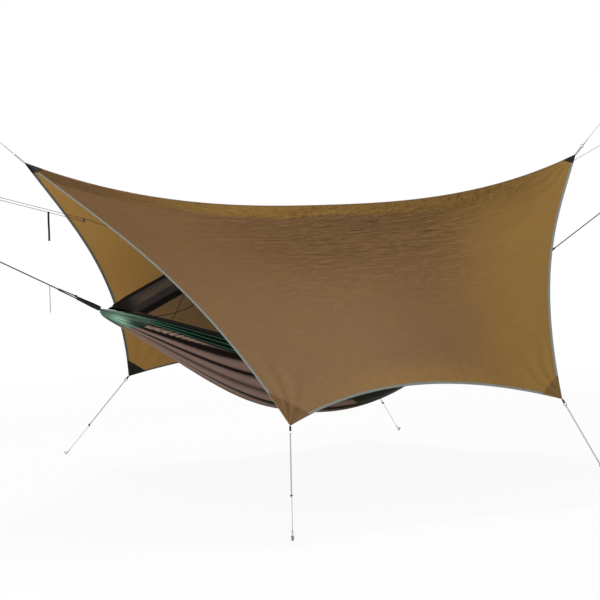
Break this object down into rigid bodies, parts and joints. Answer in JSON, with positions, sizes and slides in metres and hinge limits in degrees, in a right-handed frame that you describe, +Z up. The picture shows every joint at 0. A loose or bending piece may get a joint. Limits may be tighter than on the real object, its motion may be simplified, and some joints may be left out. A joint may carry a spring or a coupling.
{
  "type": "travel hammock",
  "caption": "Travel hammock with gathered ends and a zipped mosquito net, slung from tree ropes under a ridged wing tarp held by guy lines and pegs.",
  "frame": {"origin": "eye of the hammock rope at the left tree, on the axis that the hammock swings about", "axes": "+X towards the right tree along the ridge, +Y away from the near panel, +Z up"},
  "size_m": [3.8481, 2.9822, 2.1991],
  "materials": {
    "tarp_nylon": "coated nylon, slight sheen",
    "tarp_seam": "folded and stitched",
    "edge_binding": "woven tape, matte",
    "patch_brown": "doubled coated nylon",
    "patch_navy": "doubled coated nylon",
    "webbing": "woven webbing",
    "ring_white": "moulded",
    "ring_dark": "moulded",
    "guy_cord": "braided cord",
    "net_cord": "braided cord",
    "black_plastic": "moulded",
    "peg_metal": "satin",
    "bed_nylon": "ripstop nylon",
    "bed_green_dark": "ripstop nylon",
    "bed_green": "ripstop nylon",
    "sleeve_webbing": "whipped webbing",
    "rope": "braided rope",
    "mosquito_net": "knitted mesh, see-through",
    "zip_tape": "coil zip on woven tape",
    "net_tape": "woven tape"
  },
  "bodies": {
    "pitch": {"corner_patch_far_left": "patch_navy", "corner_patch_far_right": "patch_navy", "corner_patch_near_left": "patch_brown", "corner_patch_near_right": "patch_brown", "edge_binding_far": "edge_binding", "edge_binding_near": "edge_binding", "guy_cord_far_left": "guy_cord", "guy_cord_far_right": "guy_cord", "guy_cord_near_left": "guy_cord", "guy_cord_near_right": "guy_cord", "net_cord_left": "net_cord", "net_cord_right": "net_cord", "net_pull_strap": "webbing", "net_ridge_tape": "net_tape", "peg_far_left": "peg_metal", "peg_far_right": "peg_metal", "peg_near_left": "peg_metal", "peg_near_right": "peg_metal", "ridge_cord_left": "guy_cord", "ridge_cord_right": "guy_cord", "ridge_patch_left": "patch_navy", "ridge_patch_right": "patch_navy", "tarp_panel_far": "tarp_nylon", "tarp_panel_near": "tarp_nylon", "tarp_ridge_seam": "tarp_seam", "tie_loop_far_left": "webbing", "tie_loop_far_right": "webbing", "tie_loop_near_left": "webbing", "tie_loop_near_right": "webbing", "tie_loop_ridge_left": "webbing", "tie_loop_ridge_right": "webbing", "tie_ring_far_left": "ring_dark", "tie_ring_far_right": "ring_dark", "tie_ring_near_left": "ring_white", "tie_ring_near_right": "ring_dark", "tie_ring_ridge_left": "ring_white", "tie_ring_ridge_right": "ring_dark"},
    "hammock": {"bed_band_far": "bed_green", "bed_band_near": "bed_green", "bed_centre_panel": "bed_nylon", "bed_foot_panel": "bed_green_dark", "bed_gather_left": "bed_green", "bed_gather_right": "bed_green", "bed_toggle": "black_plastic", "end_sleeve_left": "sleeve_webbing", "end_sleeve_right": "sleeve_webbing", "net_panel_far": "mosquito_net", "net_panel_near": "mosquito_net", "net_slope_tape_left": "net_tape", "net_slope_tape_right": "net_tape", "net_zip_tape": "zip_tape", "suspension_rope_left": "rope", "suspension_rope_right": "rope"},
    "zip_slider": {"net_zip_slider": "black_plastic"},
    "net_adjuster": {"net_cord_adjuster": "black_plastic"},
    "adjuster_near_left": {"guy_adjuster_near_left": "black_plastic"},
    "adjuster_near_right": {"guy_adjuster_near_right": "black_plastic"},
    "adjuster_far_left": {"guy_adjuster_far_left": "black_plastic"},
    "adjuster_far_right": {"guy_adjuster_far_right": "black_plastic"}
  },
  "joints": [
    {"name": "hammock_swing", "type": "hinge", "parent": "pitch", "child": "hammock", "pos_m": [0, 0, 0], "axis": [0.999, 0, 0.0455], "range_deg": [-12, 12], "deforming": ["net_panel_near", "net_panel_far", "net_slope_tape_left", "net_slope_tape_right"]},
    {"name": "net_zip_run", "type": "hinge", "parent": "hammock", "child": "zip_slider", "pos_m": [1.83166, 1.29099, 0.97461], "axis": [0.0213, 0.6919, -0.7217], "range_deg": [0, 17.9]},
    {"name": "adjuster_slide_near_left", "type": "slide", "parent": "pitch", "child": "adjuster_near_left", "axis": [0.0976, 0.1952, 0.9759], "range_m": [0, 0.15]},
    {"name": "adjuster_slide_near_right", "type": "slide", "parent": "pitch", "child": "adjuster_near_right", "axis": [-0.1947, 0.5515, 0.8111], "range_m": [0, 0.15]},
    {"name": "adjuster_slide_far_left", "type": "slide", "parent": "pitch", "child": "adjuster_far_left", "axis": [0.3453, -0.6354, 0.6907], "range_m": [0, 0.15]},
    {"name": "adjuster_slide_far_right", "type": "slide", "parent": "pitch", "child": "adjuster_far_right", "axis": [-0.5735, -0.1912, 0.7966], "range_m": [0, 0.15]},
    {"name": "net_adjuster_slide", "type": "slide", "parent": "pitch", "child": "net_adjuster", "axis": [-0.9638, 0, 0.2665], "range_m": [0, 0.12]}
  ]
}
